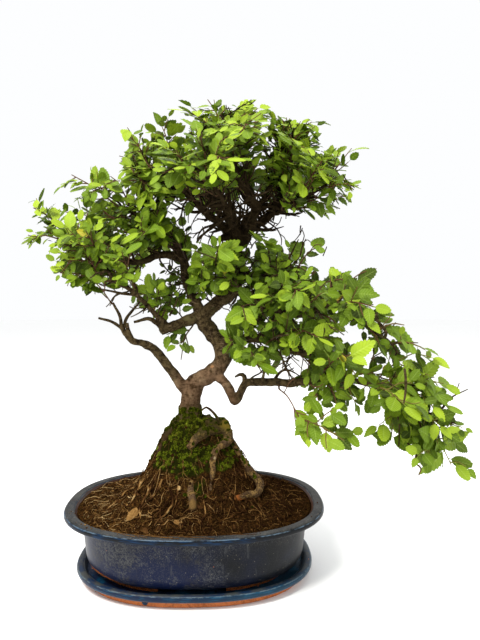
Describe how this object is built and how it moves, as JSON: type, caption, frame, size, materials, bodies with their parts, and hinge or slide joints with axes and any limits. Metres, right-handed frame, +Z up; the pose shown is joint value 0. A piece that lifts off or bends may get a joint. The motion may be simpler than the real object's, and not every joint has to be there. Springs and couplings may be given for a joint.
{
  "type": "potted japanese zelkova bonsai",
  "caption": "A zelkova bonsai with exposed roots on a mossy soil mound, in an oval navy-glazed pot on its saucer.",
  "frame": {"origin": "middle of the saucer's flat underside, on the surface it stands on", "axes": "+Z up, +X along the pot's length to the right as seen from the front, +Y to the back"},
  "size_m": [0.4206, 0.249, 0.4837],
  "materials": {
    "navy_glaze": "deep navy gloss glaze over clay, mottled, with a cobalt lip and a bare clay foot",
    "teal_glaze": "teal and navy gloss glaze on the rolled rim, bare terracotta below it",
    "net_plastic": "moulded black polyethylene net",
    "soil": "matt dark brown fibrous soil with rootlets and moss",
    "bark": "matt grey-brown bark, smooth low on the trunk and rougher above",
    "leaf": "soft satin green leaves, bright yellow-green at the tips and darker within"
  },
  "bodies": {
    "root": {"saucer": "teal_glaze", "pot": "navy_glaze", "drainage_net_left": "net_plastic", "drainage_net_right": "net_plastic", "soil": "soil", "tree": "bark", "spray_crown_leader_1": "leaf", "spray_crown_leader_2": "leaf", "spray_crown_right_1": "leaf", "spray_crown_right_2": "leaf", "spray_crown_edge_1": "leaf", "spray_crown_edge_2": "leaf", "spray_crown_edge_3": "leaf", "spray_crown_left_1": "leaf", "spray_crown_left_2": "leaf", "spray_crown_left_3": "leaf", "spray_crown_left_back_1": "leaf", "spray_crown_left_back_2": "leaf", "spray_crown_front_1": "leaf", "spray_crown_right_back_1": "leaf", "spray_crown_right_back_2": "leaf", "spray_crown_back_1": "leaf", "spray_crown_back_2": "leaf", "spray_left_stem_1": "leaf", "spray_left_stem_2": "leaf", "spray_left_stem_3": "leaf", "spray_left_stem_4": "leaf", "spray_left_level_1": "leaf", "spray_left_level_2": "leaf", "spray_left_level_3": "leaf", "spray_left_back_1": "leaf", "spray_left_back_2": "leaf", "spray_left_sweep_1": "leaf", "spray_left_sweep_2": "leaf", "spray_left_stub_1": "leaf", "spray_left_stub_2": "leaf", "spray_centre_stem_1": "leaf", "spray_right_twigs_1": "leaf", "spray_right_twigs_2": "leaf", "spray_right_twigs_3": "leaf", "spray_right_back_1": "leaf", "spray_right_back_2": "leaf", "spray_shoulder_1": "leaf", "spray_shoulder_2": "leaf", "spray_shoulder_3": "leaf", "spray_shoulder_4": "leaf", "spray_shoulder_5": "leaf", "spray_right_bough_1": "leaf", "spray_right_bough_2": "leaf", "spray_right_bough_3": "leaf", "spray_right_bough_4": "leaf", "spray_low_bough_1": "leaf", "spray_low_bough_2": "leaf", "spray_low_bough_3": "leaf", "spray_low_bough_4": "leaf", "spray_low_bough_5": "leaf", "spray_low_bough_6": "leaf", "spray_low_bough_7": "leaf", "spray_bare_twig_up_1": "leaf"}
  },
  "joints": []
}
